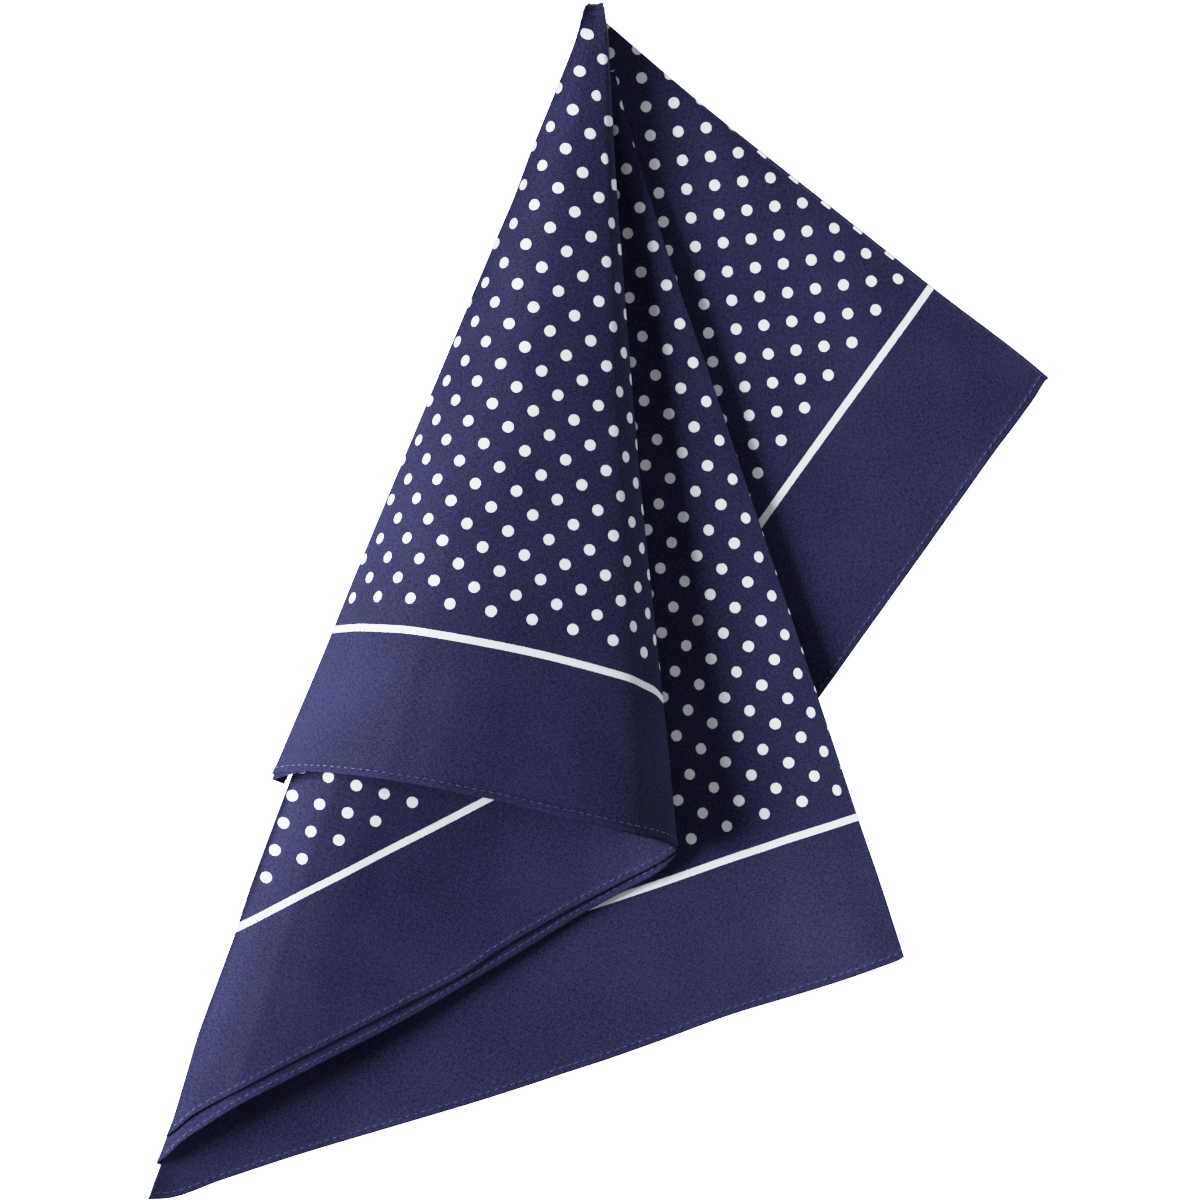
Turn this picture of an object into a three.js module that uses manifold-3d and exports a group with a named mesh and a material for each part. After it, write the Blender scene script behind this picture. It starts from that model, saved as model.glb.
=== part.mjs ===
// A cotton bandana, folded into a fan and laid flat. Millimetres, +Z up.
// +X is to the right and +Y is up the fan, towards the pinched point where all the folds meet.
// The square is folded in half and pinched on that fold. Every other fold is a straight ray from
// the pinch, so each stretch of cloth is a fan about it: a ray is an angle measured on the cloth
// from the half fold, and its heading is the angle at which that ray lies, clockwise from +X.
// The origin is on the surface that the bandana rests on, at the centre of its outline.

import * as THREE from "three";
import { mergeVertices } from "three/addons/utils/BufferGeometryUtils.js";
import Module from "manifold-3d";

// Driving sizes of the cloth
const SIDE = 550;
const HALF_SIDE = SIDE / 2;
const PINCH_TO_NEAR_HEM = 203.5;
const PINCH_TO_FAR_HEM = SIDE - PINCH_TO_NEAR_HEM;
const HEM_WIDTH = 2.6;
const HEM_RAISE = 0.4;
const WALL = 1.2;
const UNDER_WALL = 1;
const GAP = 0.3;
const UNDER_GAP = 0.5;
const DOUBLED = WALL + UNDER_GAP + UNDER_WALL;

// Where the pinch lies, and where the folds of the front panel meet once they wrap round it
const PINCH = { x: -2.91, y: 207.12 };
const FRONT_PINCH = { x: PINCH.x + 1.9, y: PINCH.y - 0.6 };
const WRAPPED_OVER_PINCH = 6.3;
const PINCH_HALF_WIDTH = 3;
const PINCH_FADES_OVER = 60;

// Heights
const BASE_TOP = 1.2;
const BASE_INSET = 0.7;
const WING_TOP = BASE_TOP + GAP + WALL;
const FRONT_EDGE_HEIGHT = 9.4;
const FRONT_PUFF = 0.85;
const PINCH_PUFF = 5;
const PINCH_PUFF_REACH = 55;
const ROLL_TUCK = 4;
const FRONT_LEFT_TUCK = 5.5;
const MIDDLE_TUCK = 2;
const MIDDLE_BY_PINCH = 5;
const MIDDLE_RISES_OVER = 110;

// Where each stretch starts, measured from the pinch
const FRONT_START = 2;
const FRONT_UNDER_START = 95;
const FILL_START = 34;
const MIDDLE_START = 30;
const WING_START = 24;
const WING_UNDER_MIDDLE = 0.9;
const FILL_INSIDE_LEFT = 3;
const CEILING = 50;

// How far a solid is set back under the hem of the one above it
const FRONT_RECESS = 18;
const LEFT_RECESS = 13;
const UNDER_EDGE_SHOWS = 1.7;
const LEFT_UNDER_EDGE_SHOWS = 3;
const HIGHEST_MIDDLE_BESIDE_FRONT = 5.2;
const OVER_MIDDLE = HIGHEST_MIDDLE_BESIDE_FRONT + GAP;

const NAVY = 0x2a2858;
const NAVY_UNDER = 0x22204a;

// Front panel, left fold to right fold. Gain is how much longer a ray lies than its cloth measures,
// because the bow stretches it, and lift is the bow's height for each millimetre from the pinch.
const FRONT = [
  { ray: 77.3, heading: 112.9, gain: 1.033, lift: 0 },
  { ray: 79.2, heading: 111.5, gain: 1.031, lift: 0.028 },
  { ray: 82, heading: 109.4, gain: 1.028, lift: 0.061 },
  { ray: 85, heading: 106.8, gain: 1.022, lift: 0.087 },
  { ray: 89, heading: 102.8, gain: 1.0185, lift: 0.112 },
  { ray: 93, heading: 98.8, gain: 1.0173, lift: 0.1266 },
  { ray: 97, heading: 94.8, gain: 1.0165, lift: 0.128 },
  { ray: 101, heading: 90.9, gain: 1.02, lift: 0.118 },
  { ray: 104, heading: 87.9, gain: 1.022, lift: 0.0985 },
  { ray: 106.5, heading: 86, gain: 1.0265, lift: 0.071 },
  { ray: 108.3, heading: 85, gain: 1.0285, lift: 0.045 },
  { ray: 110.2, heading: 84.45, gain: 1.03, lift: 0.0125 },
];

// Left panel, from under the front panel's right fold to its own left fold. The two heights are
// where it comes out from under the front panel and at its own hem.
const LEFT = [
  { ray: 113.2, heading: 85.2, topHeight: 8.8, hemHeight: 8.6 },
  { ray: 118, heading: 89.9, topHeight: 9, hemHeight: 9.2 },
  { ray: 124, heading: 96, topHeight: 9.6, hemHeight: 10.4 },
  { ray: 130, heading: 102.15, topHeight: 10.4, hemHeight: 12 },
  { ray: 134, heading: 106.25, topHeight: 10.8, hemHeight: 13.4 },
  { ray: 136.5, heading: 108.8, topHeight: 9.8, hemHeight: 12.8 },
  { ray: 138.3, heading: 110.3, topHeight: 7.6, hemHeight: 10 },
  { ray: 139, heading: 110.8, topHeight: 5.4, hemHeight: 6.6 },
];

// Middle panel, from its right fold to the tip. Reach is how far its hem lies from the pinch.
const MIDDLE = [
  { heading: 71.75, reach: 346.5, topHeight: 6.4, hemHeight: 5 },
  { heading: 72.05, reach: 346.9, topHeight: 8.4, hemHeight: 6.8 },
  { heading: 72.8, reach: 347.6, topHeight: 9.4, hemHeight: 7.2 },
  { heading: 75, reach: 348, topHeight: 9, hemHeight: 6.2 },
  { heading: 78.6, reach: 350, topHeight: 6.8, hemHeight: 5 },
  { heading: 82.6, reach: 352.5, topHeight: 5.2, hemHeight: 4.6 },
  { heading: 86.6, reach: 359.5, topHeight: 5, hemHeight: 4.6 },
  { heading: 91.6, reach: 370, topHeight: 5, hemHeight: 4.8 },
  { heading: 96.7, reach: 383.8, topHeight: 5, hemHeight: 5 },
  { heading: 100.3, reach: 395.4, topHeight: 5, hemHeight: 4.8 },
  { heading: 104, reach: 409.6, topHeight: 4.8, hemHeight: 4 },
  { heading: 107.4, reach: 426, topHeight: 4.4, hemHeight: 3.4 },
  { heading: 109.4, reach: 437.5, topHeight: 4.6, hemHeight: 4 },
  { heading: 110.2, reach: 441, topHeight: 6.4, hemHeight: 6.4 },
];

// Right wing, from its half fold down past the middle panel's right fold
const WING = [
  { heading: 39.05, reach: 204.2 },
  { heading: 46.2, reach: 207.6 },
  { heading: 53.3, reach: 214.2 },
  { heading: 59.4, reach: 223 },
  { heading: 67.15, reach: 238.8 },
  { heading: 71.75, reach: 252.5 },
];

const DEGREE = Math.PI / 180;
const wasm = await Module();
wasm.setup();

// A table's column at a key between its rows, by a monotone cubic, so that it never overshoots
function read(table, keyName, columnName, key) {
  const keys = table.map((row) => row[keyName]);
  const values = table.map((row) => row[columnName]);
  const last = keys.length - 1;
  const rising = keys[last] > keys[0];
  const clamped = Math.min(Math.max(key, Math.min(keys[0], keys[last])), Math.max(keys[0], keys[last]));
  let i = 0;
  while (i < last - 1 && (rising ? clamped > keys[i + 1] : clamped < keys[i + 1])) {
    i += 1;
  }
  const slope = (a) => (values[a + 1] - values[a]) / (keys[a + 1] - keys[a]);
  const tangent = (a) => {
    if (a === 0) {
      return slope(0);
    }
    if (a === last) {
      return slope(last - 1);
    }
    const before = slope(a - 1);
    const after = slope(a);
    return before * after <= 0 ? 0 : (2 * before * after) / (before + after);
  };
  const step = keys[i + 1] - keys[i];
  const t = (clamped - keys[i]) / step;
  const t2 = t * t;
  const t3 = t2 * t;
  return (
    (2 * t3 - 3 * t2 + 1) * values[i] +
    (t3 - 2 * t2 + t) * step * tangent(i) +
    (3 * t2 - 2 * t3) * values[i + 1] +
    (t3 - t2) * step * tangent(i + 1)
  );
}

function spaced(from, to, count) {
  return Array.from({ length: count }, (_, i) => from + ((to - from) * i) / (count - 1));
}

// A point at a heading and reach from a pinch. Near the pinch it is moved sideways by half the width
// of the bundle there, and shift moves it further to that side, clockwise being positive.
function fanPoint(pinch, heading, reach, side, height, shift = 0) {
  const x = Math.cos(heading * DEGREE);
  const y = -Math.sin(heading * DEGREE);
  const sideways = side * PINCH_HALF_WIDTH * Math.exp(-((reach / PINCH_FADES_OVER) ** 2)) + shift;
  return new THREE.Vector3(
    pinch.x + reach * x + sideways * y,
    pinch.y + reach * y - sideways * x,
    height,
  );
}

function smooth(x) {
  const t = Math.min(Math.max(x, 0), 1);
  return t * t * (3 - 2 * t);
}

// Where the long hem of the front panel crosses a ray
function frontHem(ray) {
  const cloth = (HALF_SIDE - WRAPPED_OVER_PINCH) / Math.sin(ray * DEGREE);
  return cloth * read(FRONT, "ray", "gain", ray);
}

const FRONT_LEFT = FRONT[0];
const FRONT_RIGHT = FRONT[FRONT.length - 1];

// The same hem by heading, which is what the layers below it are set back from
function frontHemAtHeading(heading) {
  return frontHem(read(FRONT, "heading", "ray", heading));
}

function leftHem(ray) {
  return HALF_SIDE / Math.sin(ray * DEGREE);
}

function leftHemAtHeading(heading) {
  return leftHem(read(LEFT, "heading", "ray", heading));
}

// Columns across a panel: a roll down at the left fold, the rays, and a roll down at the right fold
const ROLL_STEPS = [90, 62, 34];

function columnsAcross(keys, leftRoll, rightRoll) {
  const columns = keys.map((key) => ({ key, turn: 0, side: 0 }));
  const first = keys[0];
  const last = keys[keys.length - 1];
  const left = leftRoll ? ROLL_STEPS.map((turn) => ({ key: first, turn, side: 1 })) : [];
  const right = rightRoll ? ROLL_STEPS.map((turn) => ({ key: last, turn, side: -1 })).reverse() : [];
  return [...left, ...columns, ...right];
}

// Lays a column's point over a fold: down to the floor height and back under by the tuck
function rolled(point, column, heading, floor, tuck) {
  const turn = column.turn * DEGREE;
  const inward = tuck * (1 - Math.cos(turn)) * column.side;
  point.x -= inward * -Math.sin(heading * DEGREE);
  point.y -= inward * -Math.cos(heading * DEGREE);
  point.z -= (point.z - floor) * Math.sin(turn);
  return point;
}

// Steps along a panel from its inner end. The last four are where the fill under it ends, the inner
// side of its hem's edge, and the hem band's two edges.
function stepsAlong(start, fillEnd, hem, count) {
  const band = hem - HEM_WIDTH;
  return [...spaced(start, fillEnd, count), band - 0.5, band, hem];
}

function frontHeight(reach, lift) {
  const puff = PINCH_PUFF * Math.exp(-((reach / PINCH_PUFF_REACH) ** 2)) * smooth(reach / 12);
  return FRONT_EDGE_HEIGHT + reach * FRONT_PUFF * lift + puff * smooth(lift / 0.06);
}

// Rays of the front panel, closer together near its two folds
const FRONT_RAYS = spaced(0, 1, 25).map((t) => {
  const eased = 0.45 * t + 0.55 * (0.5 - 0.5 * Math.cos(Math.PI * t));
  return FRONT_LEFT.ray + (FRONT_RIGHT.ray - FRONT_LEFT.ray) * eased;
});

function frontGrid(rows) {
  const middleRay = (FRONT_LEFT.ray + FRONT_RIGHT.ray) / 2;
  return columnsAcross(FRONT_RAYS, true, true).map((column) => {
    const heading = read(FRONT, "ray", "heading", column.key);
    const lift = read(FRONT, "ray", "lift", column.key);
    const side = (middleRay - column.key) / (FRONT_RIGHT.ray - middleRay);
    const atLeft = column.side > 0;
    const floor = atLeft ? BASE_TOP + GAP : OVER_MIDDLE;
    const hem = frontHem(column.key);
    return stepsAlong(FRONT_START, hem - FRONT_RECESS, hem, rows).map((reach) => {
      const point = fanPoint(FRONT_PINCH, heading, reach, side, frontHeight(reach, lift));
      return rolled(point, column, heading, floor, atLeft ? FRONT_LEFT_TUCK : ROLL_TUCK);
    });
  });
}

// Outward normals of a grid of points, by the differences to each point's neighbours
function gridNormals(grid) {
  return grid.map((line, i) =>
    line.map((_, j) => {
      const before = grid[Math.max(i - 1, 0)][j];
      const after = grid[Math.min(i + 1, grid.length - 1)][j];
      const inner = line[Math.max(j - 1, 0)];
      const outer = line[Math.min(j + 1, line.length - 1)];
      const across = after.clone().sub(before);
      const along = outer.clone().sub(inner);
      return along.cross(across).normalize();
    }),
  );
}

// A grid moved in by a depth. Its last two steps are the turned hem, which raise moves out again
// where the cloth faces up, and longer moves on past the hem.
function offsetGrid(grid, depth, raise = 0, longer = 0) {
  const normals = gridNormals(grid);
  return grid.map((line, i) =>
    line.map((point, j) => {
      const moved = point.clone().addScaledVector(normals[i][j], -depth);
      if (j < line.length - 2) {
        return moved;
      }
      const onwards = point.clone().sub(line[j - 1]).normalize();
      const up = Math.max(normals[i][j].z, 0);
      return moved.addScaledVector(normals[i][j], raise * up).addScaledVector(onwards, longer);
    }),
  );
}

// A closed body between two grids of the same size
function bodyBetween(outer, inner) {
  const columns = outer.length;
  const rows = outer[0].length;
  const positions = [];
  for (const grid of [outer, inner]) {
    for (const line of grid) {
      for (const point of line) {
        positions.push(point.x, point.y, point.z);
      }
    }
  }
  const top = (i, j) => i * rows + j;
  const bottom = (i, j) => columns * rows + top(i, j);
  const faces = [];
  const quad = (a, b, c, d) => faces.push(a, b, c, a, c, d);
  for (let i = 0; i < columns - 1; i += 1) {
    for (let j = 0; j < rows - 1; j += 1) {
      quad(top(i, j), top(i, j + 1), top(i + 1, j + 1), top(i + 1, j));
      quad(bottom(i, j), bottom(i + 1, j), bottom(i + 1, j + 1), bottom(i, j + 1));
    }
    quad(top(i, 0), top(i + 1, 0), bottom(i + 1, 0), bottom(i, 0));
    quad(top(i, rows - 1), bottom(i, rows - 1), bottom(i + 1, rows - 1), top(i + 1, rows - 1));
  }
  for (let j = 0; j < rows - 1; j += 1) {
    quad(top(0, j), bottom(0, j), bottom(0, j + 1), top(0, j + 1));
    quad(top(columns - 1, j), top(columns - 1, j + 1), bottom(columns - 1, j + 1), bottom(columns - 1, j));
  }
  const geometry = new THREE.BufferGeometry();
  geometry.setAttribute("position", new THREE.Float32BufferAttribute(positions, 3));
  geometry.setIndex(faces);
  return geometry;
}

// A cloth wall: the grid is its outer face, and its thickness goes inwards. The turned hem shows on
// the outer face of a panel, and on the inner face of a layer that lies against another.
function wall(grid) {
  return bodyBetween(offsetGrid(grid, 0, HEM_RAISE), offsetGrid(grid, WALL));
}

function underWall(grid, longer) {
  const outer = offsetGrid(grid, WALL + UNDER_GAP, 0, longer);
  return bodyBetween(outer, offsetGrid(grid, DOUBLED, -HEM_RAISE, longer));
}

// What fills the space under a grid, down to a height inside the lowest layer, within an outline
function fillUnder(grid, depth, outline) {
  const top = offsetGrid(grid, depth);
  const floor = BASE_TOP / 2;
  const bottom = top.map((line) => line.map((point) => new THREE.Vector3(point.x, point.y, floor)));
  return solid(bodyBetween(top, bottom)).intersect(upright(outline));
}

// A body that stands on an outline and reaches above every layer
function upright(outline) {
  const shape = new THREE.Shape(outline);
  return solid(new THREE.ExtrudeGeometry(shape, { depth: CEILING, bevelEnabled: false }));
}

// A line beside a fold, moved in from it by a distance
function besideFold(pinch, heading, side, distance) {
  return [FILL_START, 60, 90, 140, 240, 460].map((reach) => {
    const point = fanPoint(pinch, heading, reach, side, 0, distance);
    return new THREE.Vector2(point.x, point.y);
  });
}

function solid(geometry) {
  const bare = geometry.clone();
  bare.deleteAttribute("normal");
  bare.deleteAttribute("uv");
  const merged = mergeVertices(bare, 1e-5);
  return new wasm.Manifold(
    new wasm.Mesh({
      numProp: 3,
      vertProperties: new Float32Array(merged.attributes.position.array),
      triVerts: new Uint32Array(merged.index.array),
    }),
  );
}

function geometryOf(body) {
  const mesh = body.getMesh();
  const geometry = new THREE.BufferGeometry();
  geometry.setAttribute("position", new THREE.BufferAttribute(new Float32Array(mesh.vertProperties), 3));
  geometry.setIndex(new THREE.BufferAttribute(new Uint32Array(mesh.triVerts), 1));
  return geometry;
}

const LEFT_RAYS = [139, 138.3, 137.4, 136.5, 135.5, 134, 132, 130, 128, 126, 124, 122, 120, 118, 116.2, 114.5, 113.2];

function leftGrid(rows) {
  return columnsAcross(LEFT_RAYS, true, false).map((column) => {
    const heading = read(LEFT, "ray", "heading", column.key);
    const shownFrom = frontHemAtHeading(heading);
    const start = shownFrom - FRONT_RECESS + 4;
    const hem = leftHem(column.key);
    const low = read(LEFT, "ray", "topHeight", column.key);
    const high = read(LEFT, "ray", "hemHeight", column.key);
    const steps = [start - 6, ...stepsAlong(start, hem - LEFT_RECESS, hem, rows)];
    return steps.map((reach) => {
      const height = low + (high - low) * smooth((reach - shownFrom) / (hem - shownFrom));
      const point = fanPoint(PINCH, heading, reach, 0, height);
      return rolled(point, column, heading, BASE_TOP + GAP, ROLL_TUCK);
    });
  });
}

// The middle panel lies under the front and left panels, from the tip to its own right fold
const MIDDLE_HEADINGS = [
  110.2, 109.8, 109.4, 108.4, 107.4, 105.8, 104, 102.2, 100.3, 98.6, 96.7, 94.2, 91.6, 89, 86.6, 84.6, 82.6, 80.6,
  78.6, 76.6, 75, 73.8, 72.8, 72.4, 72.05, 71.85, 71.75,
];
const MIDDLE_UNDER_FRONT = 6.8;
const TIP_CURLS_FROM = 108.7;

function middleHeight(heading, reach) {
  const low = read(MIDDLE, "heading", "topHeight", heading);
  const high = read(MIDDLE, "heading", "hemHeight", heading);
  const towardsHem = smooth((reach - PINCH_TO_FAR_HEM / 2) / (PINCH_TO_FAR_HEM / 2));
  const grown = low + (high - low) * towardsHem;
  return MIDDLE_BY_PINCH + (grown - MIDDLE_BY_PINCH) * smooth(reach / MIDDLE_RISES_OVER);
}

function middleGrid(rows) {
  return columnsAcross(MIDDLE_HEADINGS, false, true).map((column) => {
    const heading = column.key;
    const hem = read(MIDDLE, "heading", "reach", heading);
    return stepsAlong(MIDDLE_START, hem - 4 * HEM_WIDTH, hem, rows).map((reach) => {
      const point = fanPoint(PINCH, heading, reach, -1, middleHeight(heading, reach));
      return rolled(point, column, heading, WING_TOP + HEM_RAISE + GAP, MIDDLE_TUCK);
    });
  });
}

// What the panels above the middle panel fill, which is where it has no wall of its own
function aboveMiddle() {
  const points = besideFold(FRONT_PINCH, FRONT_RIGHT.heading, -1, MIDDLE_UNDER_FRONT).slice(0, -1);
  const underLeft = MIDDLE_HEADINGS.filter((heading) => heading > LEFT[0].heading).reverse();
  for (const heading of [LEFT[0].heading + 0.4, ...underLeft]) {
    const past = heading < TIP_CURLS_FROM ? 2 - LEFT_RECESS : LEFT_UNDER_EDGE_SHOWS + 1.5;
    const point = fanPoint(PINCH, heading, leftHemAtHeading(heading) + past, 0, 0);
    points.push(new THREE.Vector2(point.x, point.y));
  }
  for (const reach of [430, 20]) {
    const point = fanPoint(PINCH, 118, reach, 0, 0);
    points.push(new THREE.Vector2(point.x, point.y));
  }
  return points;
}

const WING_HEADINGS = [71.75, 69.5, 67.15, 63.3, 59.4, 56.3, 53.3, 49.8, 46.2, 43.5, 41, 39.6, 39.05];

function wingGrid(rows) {
  return columnsAcross(WING_HEADINGS, false, false).map((column) => {
    const heading = column.key;
    const hem = read(WING, "heading", "reach", heading);
    const underMiddle = heading === WING_HEADINGS[0];
    return stepsAlong(WING_START, hem - 4 * HEM_WIDTH, hem, rows).map((reach) => {
      const shift = underMiddle ? WING_UNDER_MIDDLE : 0;
      return fanPoint(PINCH, heading, reach, -1, WING_TOP, shift);
    });
  });
}

// The lowest layer, which follows the outline of everything above it, a little inside it
function baseOutline() {
  const points = [];
  const add = (pinch, heading, reach, side, beside = 0) => {
    const point = fanPoint(pinch, heading, reach - BASE_INSET, side, 0, beside * BASE_INSET);
    points.push(new THREE.Vector2(point.x, point.y));
  };
  for (const reach of [4, 20, 45, 80, 130]) {
    add(PINCH, WING[0].heading, reach, -1, 1);
  }
  for (const row of WING) {
    add(PINCH, row.heading, row.reach, 0, row === WING[0] ? 1 : 0);
  }
  for (const row of MIDDLE) {
    add(PINCH, row.heading, row.reach, 0, row === MIDDLE[0] ? 1 : 0);
  }
  const leftFold = LEFT[LEFT.length - 1].heading;
  for (const reach of [425, 400, 350, 300, 277]) {
    add(PINCH, leftFold + 0.3 * smooth((420 - reach) / 150), reach, 0, -1);
  }
  for (const reach of [frontHem(FRONT_LEFT.ray), 240, 180, 130, 90, 60, 40, 20, 4]) {
    add(FRONT_PINCH, FRONT_LEFT.heading, reach, 1, -1);
  }
  return points;
}

function basePlate() {
  const shape = new THREE.Shape(baseOutline());
  return new THREE.ExtrudeGeometry(shape, { depth: BASE_TOP, bevelEnabled: false });
}

function named(name, geometry, colour) {
  const material = new THREE.MeshStandardMaterial({ color: colour, roughness: 0.85, metalness: 0 });
  const bare = geometry.clone();
  bare.deleteAttribute("uv");
  bare.deleteAttribute("normal");
  const merged = mergeVertices(bare, 1e-5);
  merged.computeVertexNormals();
  const mesh = new THREE.Mesh(merged, material);
  mesh.name = name;
  return mesh;
}

const front = frontGrid(16);
const left = leftGrid(6);
const middle = middleGrid(8);
const wing = wingGrid(8);
const firstStep = (grid, reach) => grid[0].findIndex((point) => point.y < PINCH.y - reach);
const withinFolds = (grid) => grid.slice(ROLL_STEPS.length, -ROLL_STEPS.length);

// The fills stand inside the rolls of each panel and stop short of its hem, so that the hems stand
// free in layers
const clear = DOUBLED + 3 * GAP;
const frontRight = besideFold(FRONT_PINCH, FRONT_RIGHT.heading, -1, ROLL_TUCK + clear);
const frontLeft = besideFold(FRONT_PINCH, FRONT_LEFT.heading, 1, -FRONT_LEFT_TUCK - clear);
const leftRight = besideFold(PINCH, LEFT[0].heading, 0, FILL_INSIDE_LEFT);
const leftLeft = besideFold(PINCH, LEFT[LEFT.length - 1].heading, 0, -ROLL_TUCK - clear);
const middleRight = besideFold(PINCH, MIDDLE[0].heading, -1, MIDDLE_TUCK + WALL + 3 * GAP);
const middleLeft = besideFold(PINCH, LEFT[LEFT.length - 1].heading, 0, -FRONT_LEFT_TUCK - clear);
const frontFill = withinFolds(front).map((line) => line.slice(firstStep(front, FILL_START), -3));
const leftFill = left.slice(ROLL_STEPS.length).map((line) => line.slice(0, -3));
const middleFill = middle.slice(0, -ROLL_STEPS.length);
const hidden = solid(basePlate())
  .add(fillUnder(frontFill, DOUBLED + GAP, [...frontRight, ...frontLeft.reverse()]))
  .add(fillUnder(leftFill, DOUBLED + GAP, [...leftRight, ...leftLeft.reverse()]))
  .add(fillUnder(middleFill, WALL + GAP, [...middleRight, ...middleLeft.reverse()]));
const frontUnder = front.map((line) => line.slice(firstStep(front, FRONT_UNDER_START)));
const leftShown = left.map((line) => line.slice(1));
const middleShown = solid(wall(middle)).subtract(upright(aboveMiddle()));

const bandana = new THREE.Group();
bandana.name = "bandana";
bandana.add(
  named("front_panel", wall(front), NAVY),
  named("front_under_layer", underWall(frontUnder, UNDER_EDGE_SHOWS), NAVY_UNDER),
  named("left_panel", wall(leftShown), NAVY),
  named("left_under_layer", underWall(leftShown, LEFT_UNDER_EDGE_SHOWS), NAVY_UNDER),
  named("middle_panel", geometryOf(middleShown), NAVY),
  named("right_wing", wall(wing), NAVY),
  named("hidden_folds", geometryOf(hidden), NAVY_UNDER),
);

export default bandana;
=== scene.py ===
"""A dotted cotton bandana, folded in half, pinched at one point and laid flat as a fan.

Every stretch of cloth is a fan about the pinched point. A place on it is given by its reach from the
pinch and its heading, clockwise from +X seen from above, in millimetres and degrees. The print is
drawn from where that place is on the flat cloth: across, from the half fold, and down, from the
pinch towards the far hem.
"""

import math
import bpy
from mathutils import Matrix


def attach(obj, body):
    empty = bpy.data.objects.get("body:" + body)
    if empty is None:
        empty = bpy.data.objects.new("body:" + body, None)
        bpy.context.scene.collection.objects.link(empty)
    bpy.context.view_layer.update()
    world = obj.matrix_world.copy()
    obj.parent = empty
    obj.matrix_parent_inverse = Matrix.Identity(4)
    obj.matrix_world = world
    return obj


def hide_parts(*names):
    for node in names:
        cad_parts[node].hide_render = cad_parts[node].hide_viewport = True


bl_info = {
    "name": "Folded bandana",
    "version": (1, 0, 0),
    "blender": (4, 5, 0),
    "location": "View3D > Sidebar > Bandana",
    "description": "Builds a dotted bandana that is folded into a fan and laid flat, and its stage",
    "category": "Object",
}

import bpy
import numpy as np
from bpy.props import FloatProperty, FloatVectorProperty, PointerProperty

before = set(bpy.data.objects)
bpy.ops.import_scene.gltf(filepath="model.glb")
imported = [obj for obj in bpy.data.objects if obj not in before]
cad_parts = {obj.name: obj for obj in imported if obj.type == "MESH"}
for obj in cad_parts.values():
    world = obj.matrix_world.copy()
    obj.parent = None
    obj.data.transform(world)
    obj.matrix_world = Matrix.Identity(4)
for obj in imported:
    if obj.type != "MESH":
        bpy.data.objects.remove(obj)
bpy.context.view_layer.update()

MM = 0.001
BODY = "root"
CLOTH_MAP = "cloth"


def named_columns(names, *rows):
    """A table's columns by name, from its rows."""
    return dict(zip(names.split(), zip(*rows)))


def outline(heading, *places):
    """A panel's edge beside the straight ray at a heading. Each place is a reach and how far the edge
    stands from the ray there, clockwise positive."""
    return (heading, *zip(*places))


def straight(heading):
    """An edge that keeps to its ray."""
    return outline(heading, (0, 0.0), (1, 0.0), (500, 0.0))


# The pinch, and where the front panel's own folds meet after wrapping round it
PINCH = (-2.91, 207.12)
FRONT_PINCH = (-1.0, 206.56)
PINCH_REACH = 3.0
PINCH_TOP = 207.5
PINCH_TOP_WIDTH = 5.6

# Cloth that the wrap takes up: how much, over what reach it fades, and how far it turns the print
FRONT_SLACK = 3.7
SLACK_FADES_OVER = 28.0
SLACK_TURN = 0.45
SLACK_TURN_REACH = 45.0
SLACK_TURNS_FROM = 4.0

# The print, in millimetres of flat cloth: one step of the dots each way, and the white line
STEP_ACROSS = 6.93
STEP_DOWN = 7.041
DOTS_TO_SIDE = 31
DOTS_TO_NEAR = 20
DOTS_TO_FAR = 40
DOT_TO_LINE = 10.9
LINE_TO_HEM = 50.5
LINE_AT = {
    "side": DOTS_TO_SIDE * STEP_ACROSS + DOT_TO_LINE,
    "far": DOTS_TO_FAR * STEP_DOWN + DOT_TO_LINE,
    "near": DOTS_TO_NEAR * STEP_DOWN + DOT_TO_LINE,
}

# A row for each ray of a panel. heading: where it lies. ray: its angle on the cloth from the half
# fold. gain: how much longer it lies than it measures. hem: how far its hem lies from the pinch.
# lift: the front panel's height for each millimetre of reach, at its hem and near the pinch. inner
# and outer: heights where the panel comes out from under the next one and at its hem.
FRONT = {
    "pinch": FRONT_PINCH,
    "pinch_on_cloth": (6.3, 6.5),
    "hem_side": "side",
    **named_columns(
        "heading ray gain hem lift lift_near",
        (84.45, 110.2, 1.03, 291.5, 0.0125, 0.0125),
        (85.0, 108.3, 1.0285, 289.6, 0.042, 0.042),
        (86.0, 106.6, 1.0265, 287.4, 0.066, 0.066),
        (87.0, 105.0, 1.0245, 285.9, 0.082, 0.082),
        (88.85, 103.0, 1.0222, 283.4, 0.093, 0.093),
        (91.0, 100.8, 1.0198, 280.9, 0.102, 0.102),
        (92.8, 99.0, 1.0182, 279.3, 0.108, 0.108),
        (94.8, 97.0, 1.017, 277.6, 0.114, 0.114),
        (96.8, 95.0, 1.0165, 276.4, 0.119, 0.119),
        (99.0, 92.8, 1.0168, 275.7, 0.1235, 0.1235),
        (101.6, 90.3, 1.0177, 275.4, 0.126, 0.126),
        (104.8, 87.0, 1.0198, 276.4, 0.12, 0.1225),
        (106.75, 85.0, 1.022, 277.7, 0.107, 0.1165),
        (108.4, 83.0, 1.0255, 279.4, 0.0885, 0.111),
        (109.6, 81.44, 1.028, 280.9, 0.0715, 0.107),
        (110.2, 80.55, 1.029, 281.8, 0.0615, 0.105),
        (110.9, 79.42, 1.03, 283.0, 0.0485, 0.1025),
        (111.8, 77.85, 1.032, 285.0, 0.03, 0.0995),
        (112.9, 75.6, 1.033, 288.3, 0.0, 0.096),
    ),
}
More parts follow.
